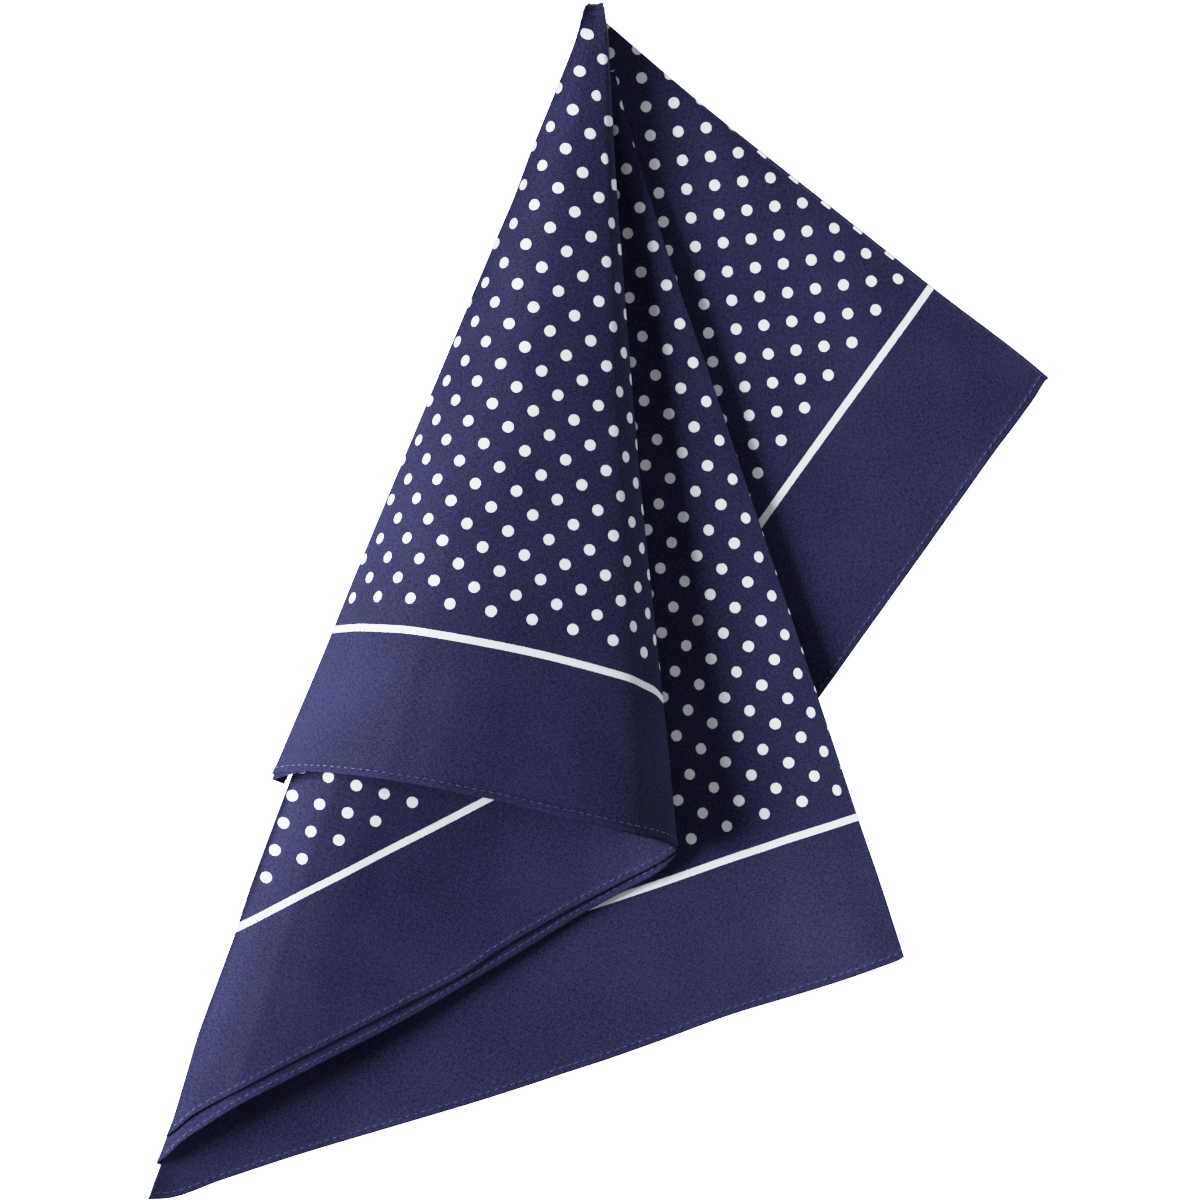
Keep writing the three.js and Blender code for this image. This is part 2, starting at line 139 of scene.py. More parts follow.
LEFT = {
    "pinch": PINCH,
    "pinch_on_cloth": (-0.35, 0.14),
    "hem_side": "side",
    **named_columns(
        "heading ray hem under_hem inner outer",
        (84.2, 112.45, 294.2, 295.5, 10.4, 10.4),
        (85.2, 113.4, 297.2, 300.0, 10.1, 10.1),
        (87.8, 115.96, 303.3, 306.7, 8.3, 8.3),
        (89.9, 118.0, 308.8, 312.6, 7.9, 7.9),
        (91.8, 119.87, 314.6, 319.0, 8.2, 8.5),
        (95.4, 123.4, 328.0, 333.4, 9.5, 10.1),
        (97.6, 125.55, 338.9, 343.2, 10.9, 11.5),
        (100.5, 128.4, 351.7, 357.5, 13.0, 13.4),
        (103.4, 131.2, 366.4, 372.5, 15.0, 15.3),
        (106.1, 133.87, 382.1, 388.6, 16.5, 16.6),
        (107.9, 135.6, 394.2, 400.8, 16.0, 16.0),
        (108.8, 136.5, 400.6, 408.6, 14.4, 14.4),
        (109.7, 137.4, 408.0, 417.2, 11.6, 12.0),
        (110.2, 137.9, 414.3, 424.4, 9.2, 9.8),
        (110.8, 138.45, 421.0, 431.0, 5.4, 6.8),
    ),
}
MIDDLE = {
    "pinch": PINCH,
    "pinch_on_cloth": (0.3, -1.3),
    "hem_side": "far",
    **named_columns(
        "heading ray gain hem inner outer",
        (71.75, 179.8, 1.0062, 346.6, 8.2, 10.0),
        (72.16, 179.2, 1.006, 347.2, 8.3, 9.8),
        (73.5, 177.5, 1.0055, 347.7, 8.6, 9.2),
        (75.16, 175.8, 1.0048, 348.4, 8.5, 7.9),
        (76.78, 174.2, 1.0042, 349.1, 8.1, 6.6),
        (78.38, 172.5, 1.004, 349.9, 7.3, 5.4),
        (80.0, 170.9, 1.0036, 350.9, 6.1, 4.7),
        (81.6, 169.2, 1.0032, 352.2, 5.4, 4.5),
        (83.2, 167.5, 1.003, 354.2, 5.2, 4.5),
        (86.6, 164.2, 1.003, 360.0, 5.0, 4.6),
        (89.1, 161.9, 1.0035, 364.9, 5.0, 4.8),
        (91.6, 159.7, 1.0045, 370.2, 5.0, 5.1),
        (96.7, 155.1, 1.006, 383.7, 5.0, 5.6),
        (100.35, 151.7, 1.006, 395.3, 5.0, 5.0),
        (104.05, 148.2, 1.006, 409.6, 4.8, 3.9),
        (107.4, 144.8, 1.006, 426.0, 4.4, 3.4),
        (109.4, 142.7, 1.006, 437.6, 4.6, 4.0),
        (110.3, 141.6, 1.006, 440.5, 5.4, 5.4),
    ),
}
WING = {
    "pinch": PINCH,
    "pinch_on_cloth": (-2.1, 1.2),
    "hem_side": "near",
    **named_columns(
        "heading ray gain hem",
        (38.0, -0.6, 1.0, 203.8),
        (39.05, 0.5, 1.0002, 204.2),
        (40.05, 1.6, 1.0006, 204.5),
        (41.41, 3.35, 1.0018, 205.3),
        (43.5, 5.7, 1.003, 206.2),
        (47.53, 9.8, 1.0052, 208.4),
        (53.59, 15.9, 1.0083, 214.4),
        (59.6, 22.0, 1.0112, 223.3),
        (65.55, 28.1, 1.014, 235.4),
        (71.45, 34.2, 1.0165, 251.6),
        (77.29, 40.3, 1.0189, 272.0),
    ),
}
WING_HEIGHTS = named_columns(
    "heading height",
    (39.0, 1.3),
    (41.5, 1.9),
    (44.0, 2.7),
    (47.0, 3.3),
    (50.0, 3.6),
    (55.0, 3.6),
    (60.0, 3.4),
    (64.0, 3.3),
    (68.0, 3.4),
    (71.0, 3.5),
    (77.3, 3.5),
)

FRONT_LEFT_EDGE = outline(
    112.9,
    (3, 3.1), (17, 1.6), (36, 1.2), (54, 0.95), (76, 0.1), (88, 0.2), (208, 0.0), (250, -0.5),
    (288, -0.4),
)
FRONT_RIGHT_EDGE = outline(
    84.45,
    (3, -3.0), (10, -3.4), (21, -2.95), (40, -2.1), (56, -1.45), (72, -0.95), (87, -0.7),
    (108, -0.26), (131, 0.13), (175, 0.45), (209, 0.25), (230, 0.0), (264, -0.22), (292, -0.13),
)
LEFT_LEFT_EDGE = outline(
    110.8,
    (200, 1.7), (291, 1.7), (324, 1.5), (347, 0.6), (378, 0.3), (397, -1.0), (411, -2.0),
    (420, -2.2),
)
LEFT_RIGHT_EDGE = straight(84.2)
MIDDLE_LEFT_EDGE = straight(110.3)
MIDDLE_RIGHT_EDGE = outline(
    71.75,
    (20, -1.2), (40, 0.3), (64, 1.07), (92, 1.42), (108, 1.37), (122, 1.1), (136, 0.84),
    (165, 0.64), (207, 0.35), (240, 0.1), (294, 0.05), (320, -0.25), (347, -0.05),
)
WING_UPPER_EDGE = outline(
    38.8,
    (8, 1.2), (20, 1.6), (50, 2.4), (60, 2.45), (127, 1.95), (152, 1.85), (195, 0.8), (203, 1.0),
)
WING_LOWER_EDGE = straight(76.0)

# The front panel: its bow, how it is puffed at the pinch and dips there, and a swell beyond that
FRONT_EDGE_HEIGHT = 9.4
FRONT_PUFF = 0.85
BOW_GROWS_FROM = 80.0
BOW_GROWS_OVER = 190.0
PINCH_PUFF = 3.6
PINCH_PUFF_REACH = 55.0
PINCH_PUFF_STARTS_OVER = 12.0
PINCH_DIP = 1.6
PINCH_DIP_REACH = 90.0
SWELL = 2.1
SWELL_AT = 115.0
SWELL_REACH = 70.0
SWELL_LEFT_FADE = 16.0
FULLY_PUFFED_LIFT = 0.06
FULLY_RIBBED_LIFT = 0.09
RIB_SPREAD = 4.2
RIB_LENGTH = 160.0
RIB_HEIGHT = 0.14
RIBS_FADE_OVER = 190.0

# The other panels: heights by the pinch, and over what reach they rise from there
LEFT_BY_PINCH = 4.5
LEFT_RISES_FROM = 40.0
LEFT_RISES_OVER = 200.0
LEFT_SHOWS_FROM = 282.0
MIDDLE_BY_PINCH = 5.0
MIDDLE_RISES_OVER = 110.0
MIDDLE_OUTER_FROM = 173.0
MIDDLE_SHOWS_RIGHT_OF = 83.0
MIDDLE_SHOWS_BELOW = 300.0
WING_BY_PINCH = 2.7
WING_RISES_OVER = 90.0

# What a panel's rolled edge comes down to
OVER_FLOOR = 1.6
OVER_MIDDLE = 5.5
OVER_WING = 3.9
OVER_INNER = 1.3
WING_ENDS = -36.0
WING_ENDS_OVER = 15.0

# Second layers: how far under the first they lie
FRONT_LAYERS_APART = 0.35
LEFT_LAYERS_APART = 0.45
INNER_LAYERS = ((0.5, 1.2), (1.0, 1.8))
INNER_MIDDLE_EDGES = (109.9, 72.0)
UNDER_HEM_SHOWS = named_columns(
    "heading longer",
    (84.45, 0.9),
    (88, 1.1),
    (92, 0.5),
    (96, -0.6),
    (104, -0.8),
    (110, -0.6),
    (112.9, 1.8),
)
UNDER_HEM_OVER = 60.0

# The hem, by distance from the edge
HEM_ROWS = (0.0, 0.12, 0.35, 0.7, 1.1, 1.6, 2.0, 2.3, 2.6, 2.9, 3.3, 4.0)
HEM_BAND = 3.1
HEM_STEP = 0.7
HEM_ROUNDING = 0.5
HEM_EDGE_SHARE = 0.25
STITCH_LINE = 2.35
STITCH_GROOVE = 0.28
STITCH_GROOVE_DEPTH = 0.1
STITCH_LIFT = 0.1
STITCH_ENDS = 2

# The grid: its outermost columns, and the turns, in degrees, of a rolled edge and of the closed pinch
EDGE_COLUMN = 0.0015
ROLL_TURNS = (14, 28, 42, 56, 70, 82, 90)
ROLL_SHARE = 0.3
LEAST_DROP = 0.3
CLOSING_TURNS = (90, 75, 60, 48, 36, 26, 17, 9)
CLOSING_PRINT = 0.02
CLOSES_TO = 2.4

# Ripples: waves in each octave, and how they add up
RIPPLE_OCTAVES = 2
RIPPLE_WAVES = 5
RIPPLE_SHARE = 2.2
RIPPLE_FADE = 1.8
RIPPLE_TOTAL = 3.2

# The stage
VIEW_CENTRE = (0.55, 1.25)
FLOOR_HALF = 3.0
FLOOR_DROP = 0.3
FLOOR_GLOW = 3.7
KEY_SPREAD = math.radians(34)
FILL_HEIGHT = math.radians(12)
FILL_STRENGTH = 2.1
FILL_SPREAD = math.radians(40)
FILL_COLOUR = (0.95, 0.97, 1)

# How a light value is shown: shown, light
HIGHLIGHT_LIMIT = 4.2
HIGHLIGHTS = ((0.1, 0.1), (0.3, 0.3), (0.5, 0.52), (0.66, 0.76), (0.78, 1.05), (0.88, 1.7), (0.95, 2.8))


# Shapes


def cubic(xs, ys, x):
    """A table read by a monotone cubic, so that surfaces have no kinks and never overshoot."""
    xs, ys = np.asarray(xs, float), np.asarray(ys, float)
    x = np.clip(np.asarray(x, float), xs[0], xs[-1])
    gaps = np.diff(xs)
    slopes = np.diff(ys) / gaps
    tangents = np.concatenate([[slopes[0]], np.zeros(len(xs) - 2), [slopes[-1]]])
    rising = slopes[:-1] * slopes[1:] > 0
    before, after = slopes[:-1][rising], slopes[1:][rising]
    tangents[1:-1][rising] = 2 * before * after / (before + after)
    i = np.clip(np.searchsorted(xs, x) - 1, 0, len(xs) - 2)
    t = (x - xs[i]) / gaps[i]
    return (
        (2 * t**3 - 3 * t**2 + 1) * ys[i]
        + (t**3 - 2 * t**2 + t) * gaps[i] * tangents[i]
        + (3 * t**2 - 2 * t**3) * ys[i + 1]
        + (t**3 - t**2) * gaps[i] * tangents[i + 1]
    )


def smooth(x):
    """From 0 to 1 with soft ends."""
    t = np.clip(x, 0, 1)
    return t * t * (3 - 2 * t)


def edge_heading(edge, reach):
    """The heading of an outline at a reach."""
    heading, reaches, sides = edge
    side = cubic(reaches, sides, reach)
    return heading + np.degrees(np.arcsin(np.clip(side / np.maximum(reach, 1.0), -0.95, 0.95)))


def ripples(x, y, seed, pitch):
    """Smooth noise from a few waves in fixed directions, from about -1 to 1."""
    draw = np.random.default_rng(seed)
    total = np.zeros_like(x + y)
    for octave in range(RIPPLE_OCTAVES):
        for _ in range(RIPPLE_WAVES):
            angle = draw.uniform(0, 2 * math.pi)
            phase = draw.uniform(0, 2 * math.pi)
            k = 2 * math.pi / (pitch * draw.uniform(0.7, 1.4)) * 2**octave
            wave = np.sin(k * (x * math.cos(angle) + y * math.sin(angle)) + phase)
            total += wave / (RIPPLE_SHARE * RIPPLE_FADE**octave)
    return total / RIPPLE_TOTAL


class Fan:
    """A stretch of cloth as a grid of columns from its left edge to its right, and of rows from near
    the pinch to its hem."""

    def __init__(self, panel, edges, start, columns, rows, hem="hem", ease=0.0, slack=0.0):
        self.panel, self.slack = panel, slack
        share = np.linspace(0, 1, columns)
        share = (1 - ease) * share + ease * (0.5 - 0.5 * np.cos(np.pi * share))
        share[1], share[-2] = EDGE_COLUMN, 1 - EDGE_COLUMN
        share = share[:, None]
        left, right = edges
        column_heading = left[0] + (right[0] - left[0]) * share
        heading = column_heading
        for _ in range(3):
            end = cubic(panel["heading"], panel[hem], heading[:, -1:])
            along = np.linspace(0, 1, rows)[None, :] * (end - HEM_ROWS[-1] - start) + start
            reach = np.concatenate([along[:, :-1], end - np.array(HEM_ROWS[::-1])[None, :]], axis=1)
            a, b = edge_heading(left, reach), edge_heading(right, reach)
            heading = a + (b - a) * share
        self.reach, self.heading = reach, heading
        self.column_heading = column_heading * np.ones_like(reach)
        self.from_hem = end - reach
        turned = slack * np.exp(-((reach / SLACK_TURN_REACH) ** 2)) * SLACK_TURN
        self.ray = self.ray_at(heading - np.degrees(turned / np.maximum(reach, SLACK_TURNS_FROM)))
        self.cloth = self.on_the_cloth(end)

    def ray_at(self, heading):
        """The ray at a heading, carried on straight outside the table."""
        headings, rays = self.panel["heading"], self.panel["ray"]
        outside = heading - np.clip(heading, headings[0], headings[-1])
        return cubic(headings, rays, heading) + outside * (rays[-1] - rays[0]) / (headings[-1] - headings[0])

    def on_the_cloth(self, end):
        """Distance from the pinch on the flat cloth. Past the white line it is spread evenly to the hem."""
        bearing = np.radians(self.ray)
        across, down = self.panel["pinch_on_cloth"]
        side = self.panel["hem_side"]
        towards = np.abs(np.sin(bearing)) if side == "side" else np.abs(np.cos(bearing))
        offset = {"side": across, "near": -down, "far": down}[side]
        gain = cubic(self.panel["heading"], self.panel["gain"], self.heading) if "gain" in self.panel else 1.0
        to_line = (LINE_AT[side] - offset) / towards
        to_hem = (LINE_AT[side] + LINE_TO_HEM - offset) / towards
        lies_to_line = to_line * gain
        past = (self.reach - lies_to_line) / np.maximum(end - lies_to_line, 1.0)
        nearer = (self.reach - self.slack * np.exp(-self.reach / SLACK_FADES_OVER)) / gain
        return np.where(self.reach < lies_to_line, nearer, to_line + past * (to_hem - to_line))

    def uv(self):
        """Places on the flat cloth, across and down."""
        bearing = np.radians(self.ray)
        across, down = self.panel["pinch_on_cloth"]
        return np.stack([across + self.cloth * np.sin(bearing), down - self.cloth * np.cos(bearing)], axis=-1)

    def points(self, height):
        """Places in the frame, at a height."""
        bearing = np.radians(self.heading)
        x = self.panel["pinch"][0] + self.reach * np.cos(bearing)
        y = self.panel["pinch"][1] - self.reach * np.sin(bearing)
        return np.stack([x, y, height * np.ones_like(x)], axis=-1)

    def ripples(self, seed, pitch):
        """Soft unevenness that belongs to the cloth."""
        uv = self.uv()
        return ripples(uv[..., 0], uv[..., 1], seed, pitch)


def roll(points, uv, side, floor, tuck):
    """Adds columns that lay the cloth over a fold at its left or right edge: down to a floor and back
    under by the tuck."""
    left = side == "left"
    rim, beside = (points[0], points[1]) if left else (points[-1], points[-2])
    rim_uv, beside_uv = (uv[0], uv[1]) if left else (uv[-1], uv[-2])
    along = rim[-1, :2] - rim[0, :2]
    out = np.array([along[1], -along[0]]) / np.linalg.norm(along)
    out = out if ((rim[:, :2] - beside[:, :2]) * out).sum() > 0 else -out
    width = np.linalg.norm(points[0] - points[-1], axis=1)
    tuck = np.minimum(tuck, ROLL_SHARE * width)
    drop = rim[:, 2] - np.minimum(floor, rim[:, 2] - LEAST_DROP)
    outwards = (rim_uv - beside_uv) / np.maximum(np.linalg.norm(rim_uv - beside_uv, axis=1), 1e-6)[:, None]
    new, new_uv = [], []
    for turn in ROLL_TURNS:
        a = math.radians(turn)
        lying = rim.copy()
        lying[:, :2] -= out * (tuck * (1 - math.cos(a)))[:, None]
        lying[:, 2] = rim[:, 2] - drop * math.sin(a)
        new.append(lying)
        new_uv.append(rim_uv + outwards * (a * 0.5 * (tuck + np.abs(drop)))[:, None])
    if left:
        return np.concatenate([np.array(new[::-1]), points]), np.concatenate([np.array(new_uv[::-1]), uv])
    return np.concatenate([points, np.array(new)]), np.concatenate([uv, np.array(new_uv)])


def close_at_pinch(points, uv, floor):
    """Adds rows that bring the near end of a panel together over the pinch and down."""
    first = points[:, 0]
    count = len(first)
    across = FRONT_PINCH[0] + np.linspace(-0.5, 0.5, count) * PINCH_TOP_WIDTH
    end = np.stack([across, np.full(count, PINCH_TOP), np.full(count, floor)], axis=-1)
    new, new_uv = [], []
    for turn in CLOSING_TURNS:
        a = math.radians(turn)
        row = first + (end - first) * math.sin(a)
        row[:, 2] = floor + (first[:, 2] - floor) * math.cos(a)
        new.append(row)
        new_uv.append(uv[:, 0] + (uv[:, 0] - uv[:, 1]) * turn * CLOSING_PRINT)
    return np.concatenate([np.stack(new, 1), points], 1), np.concatenate([np.stack(new_uv, 1), uv], 1)


def normals_of(points):
    """The outward direction at each point of a grid."""
    across = np.gradient(points, axis=0)
    along = np.gradient(points, axis=1)
    normal = np.cross(along, across)
    return normal / np.maximum(np.linalg.norm(normal, axis=-1, keepdims=True), 1e-9)


def hem_raise(from_hem, height):
    """The turned hem stands proud, is rounded at its edge and drawn in along its stitches."""
    band = smooth((HEM_BAND - from_hem) / HEM_STEP) * smooth(from_hem / HEM_ROUNDING + HEM_EDGE_SHARE)
    groove = np.exp(-(((from_hem - STITCH_LINE) / STITCH_GROOVE) ** 2))
    return height * band - STITCH_GROOVE_DEPTH * groove


def hem_line(points, from_hem):
    """Points along a panel's hem for its stitches."""
    line = []
    for column, distance in zip(points, from_hem):
        order = np.argsort(distance)
        line.append([np.interp(STITCH_LINE, distance[order], column[order, k]) for k in range(3)])
    line = np.array(line)
    line[:, 2] += STITCH_LIFT
    return line[STITCH_ENDS:-STITCH_ENDS]


def hemmed(fan, height, proud):
    """A panel's outer face with its hem raised, and the line of its stitches."""
    points = fan.points(height)
    points = points + normals_of(points) * hem_raise(fan.from_hem, proud)[..., None]
    return points, hem_line(points, fan.from_hem)


def shell(points, uv, thickness):
    """A closed shell whose outer face is the grid. Returns vertices, quads and their cloth places."""
    columns, rows = points.shape[:2]
    inner = points - normals_of(points) * thickness
    vertices = np.concatenate([points.reshape(-1, 3), inner.reshape(-1, 3)])
    uvs = np.concatenate([uv.reshape(-1, 2), uv.reshape(-1, 2)])
    index = np.arange(columns * rows).reshape(columns, rows)
    under = index + columns * rows

    def quads(a, b, c, d):
        return np.stack([a.ravel(), b.ravel(), c.ravel(), d.ravel()], axis=1)

    faces = [
        quads(index[:-1, :-1], index[:-1, 1:], index[1:, 1:], index[1:, :-1]),
        quads(under[:-1, :-1], under[1:, :-1], under[1:, 1:], under[:-1, 1:]),
        quads(index[:-1, 0], index[1:, 0], under[1:, 0], under[:-1, 0]),
        quads(index[:-1, -1], under[:-1, -1], under[1:, -1], index[1:, -1]),
        quads(index[0, :-1], under[0, :-1], under[0, 1:], index[0, 1:]),
        quads(index[-1, :-1], index[-1, 1:], under[-1, 1:], under[-1, :-1]),
    ]
    return vertices, np.concatenate(faces), uvs


def joined(shells):
    """Several shells as one set of vertices, faces and cloth places."""
    vertices, faces, uvs, count = [], [], [], 0
    for v, f, u in shells:
        vertices.append(v)
        faces.append(f + count)
        uvs.append(u)
        count += len(v)
    return np.concatenate(vertices), np.concatenate(faces), np.concatenate(uvs)


def mesh_from(name, vertices, faces, uvs):
    """A mesh in metres with a map of its places on the flat cloth."""
    mesh = bpy.data.meshes.new(name)
    mesh.from_pydata((vertices * MM).tolist(), [], faces.tolist())
    layer = mesh.uv_layers.new(name=CLOTH_MAP)
    loops = np.empty(len(mesh.loops), dtype=np.int32)
    mesh.loops.foreach_get("vertex_index", loops)
    layer.data.foreach_set("uv", (uvs[loops] * MM).astype(np.float32).ravel())
    mesh.polygons.foreach_set("use_smooth", [True] * len(mesh.polygons))
    mesh.update()
    mesh.validate()
    return mesh


def add_cloth(context, name, node, rests_on, *grids):
    """Makes a piece of cloth from grids of points and cloth places, attaches it to the body and hides the
    model part it stands in for."""
    thickness = context.scene.bandana_sewing.cloth_thickness / MM
    shells = [shell(points, uv, thickness) for points, uv in grids]
    obj = bpy.data.objects.new(name, mesh_from(name, *joined(shells)))
    context.collection.objects.link(obj)
    obj.data.materials.append(printed_cotton())
    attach(obj, BODY)
    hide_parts(node)
    return obj


# The panels' surfaces


def front_height(fan):
    """Bowed, flatter on the left near the pinch, and full where it wraps round the pinch."""
    near = cubic(FRONT["heading"], FRONT["lift_near"], fan.column_heading)
    far = cubic(FRONT["heading"], FRONT["lift"], fan.column_heading)
    lift = near + (far - near) * smooth((fan.reach - BOW_GROWS_FROM) / BOW_GROWS_OVER)
    puff = PINCH_PUFF * np.exp(-((fan.reach / PINCH_PUFF_REACH) ** 2))
    puff = puff * smooth(fan.reach / PINCH_PUFF_STARTS_OVER)
    swell = SWELL * np.exp(-(((fan.reach - SWELL_AT) / SWELL_REACH) ** 2))
    swell = swell * smooth((FRONT_LEFT_EDGE[0] - fan.column_heading) / SWELL_LEFT_FADE)
    edge = FRONT_EDGE_HEIGHT - PINCH_DIP * (1 - smooth(fan.reach / PINCH_DIP_REACH))
    height = edge + fan.reach * FRONT_PUFF * lift + (puff + swell) * smooth(lift / FULLY_PUFFED_LIFT)
    ribs = ripples(fan.heading, fan.reach / RIB_LENGTH, seed=11, pitch=RIB_SPREAD)
    ribs = ribs * RIB_HEIGHT * np.exp(-fan.reach / RIBS_FADE_OVER)
    soft = fan.ripples(seed=12, pitch=55) * 0.35 * smooth(fan.reach / 120)
    return height + smooth(lift / FULLY_RIBBED_LIFT) * (ribs + soft)


def left_height(fan):
    """Low at its edges with a crest between them."""
    inner = cubic(LEFT["heading"], LEFT["inner"], fan.heading)
    outer = cubic(LEFT["heading"], LEFT["outer"], fan.heading)
    hem = cubic(LEFT["heading"], LEFT["hem"], fan.heading)
    height = inner + (outer - inner) * smooth((fan.reach - LEFT_SHOWS_FROM) / (hem - LEFT_SHOWS_FROM))
    risen = smooth((fan.reach - LEFT_RISES_FROM) / LEFT_RISES_OVER)
    return LEFT_BY_PINCH + (height - LEFT_BY_PINCH) * risen + 0.3 * fan.ripples(seed=21, pitch=60)


def middle_height(fan):
    """Rises to its folded edge, and is uneven only where it shows."""
    low = cubic(MIDDLE["heading"], MIDDLE["inner"], fan.heading)
    high = cubic(MIDDLE["heading"], MIDDLE["outer"], fan.heading)
    grown = low + (high - low) * smooth((fan.reach - MIDDLE_OUTER_FROM) / MIDDLE_OUTER_FROM)
    height = MIDDLE_BY_PINCH + (grown - MIDDLE_BY_PINCH) * smooth(fan.reach / MIDDLE_RISES_OVER)
    shown = smooth((MIDDLE_SHOWS_RIGHT_OF - fan.heading) / 3) + smooth((fan.reach - MIDDLE_SHOWS_BELOW) / 60)
    return height + 0.3 * fan.ripples(seed=31, pitch=60) * np.clip(shown, 0, 1)


def wing_height(fan):
    """Nearly flat, and lower towards its folded edge."""
    inside = np.clip(fan.heading - edge_heading(WING_UPPER_EDGE, fan.reach), 0, 90)
    inside = inside * fan.reach * math.pi / 180
    grown = cubic(WING_HEIGHTS["heading"], WING_HEIGHTS["height"], fan.heading)
    height = WING_BY_PINCH + (grown - WING_BY_PINCH) * smooth(fan.reach / WING_RISES_OVER)
    return height + 0.25 * fan.ripples(seed=41, pitch=70) * smooth(inside / 20)


# Materials


def wire(tree, kind, inputs=(), **settings):
    """Adds a node, sets its properties, and links or sets its inputs in order or by name."""
    node = tree.nodes.new(kind)
    for key, value in settings.items():
        setattr(node, key, value)
    pairs = inputs.items() if isinstance(inputs, dict) else enumerate(inputs)
    for key, value in pairs:
        if isinstance(value, bpy.types.NodeSocket):
            tree.links.new(value, node.inputs[key])
        else:
            node.inputs[key].default_value = value
    return node


def maths(tree, operation, *inputs):
    return wire(tree, "ShaderNodeMath", inputs, operation=operation).outputs[0]


def between(tree, value, low, high, to_low=0.0, to_high=1.0, kind="LINEAR"):
    """A value carried from one range to another, and held at its ends."""
    inputs = (value, low, high, to_low, to_high)
    return wire(tree, "ShaderNodeMapRange", inputs, interpolation_type=kind, clamp=True).outputs[0]


def blended(tree, factor, first, second):
    """A mix of two colours."""
    node = wire(tree, "ShaderNodeMix", {0: factor}, data_type="RGBA")
    for socket, value in ((node.inputs[6], first), (node.inputs[7], second)):
        if isinstance(value, bpy.types.NodeSocket):
            tree.links.new(value, socket)
        else:
            socket.default_value = value
    return node.outputs[2]


def dots_and_line(tree, across, down):
    """How white the print is at a place on the cloth, from 0 to 1."""
    sizes = bpy.context.scene.bandana_print
    p = maths(tree, "DIVIDE", down, STEP_DOWN)
    q = maths(tree, "DIVIDE", across, STEP_ACROSS)
    squares = []
    for shift_p, shift_q in ((0.0, 1.0), (1.0, 0.0)):
        dp = maths(tree, "WRAP", maths(tree, "SUBTRACT", p, shift_p), 1.0, -1.0)
        dq = maths(tree, "WRAP", maths(tree, "SUBTRACT", q, shift_q), 1.0, -1.0)
        a = maths(tree, "POWER", maths(tree, "ABSOLUTE", maths(tree, "MULTIPLY", dp, STEP_DOWN)), 2.0)
        b = maths(tree, "POWER", maths(tree, "ABSOLUTE", maths(tree, "MULTIPLY", dq, STEP_ACROSS)), 2.0)
        squares.append(maths(tree, "ADD", a, b))
    distance = maths(tree, "SQRT", maths(tree, "MINIMUM", *squares))
    radius, soft = sizes.dot_width / MM / 2, 0.12
    dots = between(tree, distance, radius + soft, radius - soft, kind="SMOOTHSTEP")

    past_near = maths(tree, "SUBTRACT", maths(tree, "MULTIPLY", down, -1.0), LINE_AT["near"])
    past_far = maths(tree, "SUBTRACT", down, LINE_AT["far"])
    past_side = maths(tree, "SUBTRACT", across, LINE_AT["side"])
    past = maths(tree, "MAXIMUM", maths(tree, "MAXIMUM", past_near, past_far), past_side)
    inside = maths(tree, "LESS_THAN", past, STEP_ACROSS / 2 - DOT_TO_LINE)
    half, soft = sizes.line_width / MM / 2, 0.1
    line = between(tree, maths(tree, "ABSOLUTE", past), half + soft, half - soft, kind="SMOOTHSTEP")
    return maths(tree, "MAXIMUM", maths(tree, "MULTIPLY", dots, inside), line)


def threads(tree, along, other, pitch):
    """One set of threads: slubs of uneven width and strength, and ribs at a pitch in millimetres."""
    stretched = maths(tree, "MULTIPLY", along, 0.3)
    uneven = wire(tree, "ShaderNodeCombineXYZ", (stretched, other, 0.0)).outputs[0]
    slub = wire(tree, "ShaderNodeTexNoise", {"Vector": uneven, "Scale": 2.4, "Detail": 2.0})
    wave = maths(tree, "SINE", maths(tree, "MULTIPLY", other, 2 * math.pi / pitch))
    return slub.outputs[0], maths(tree, "MULTIPLY_ADD", wave, 0.5, 0.5)


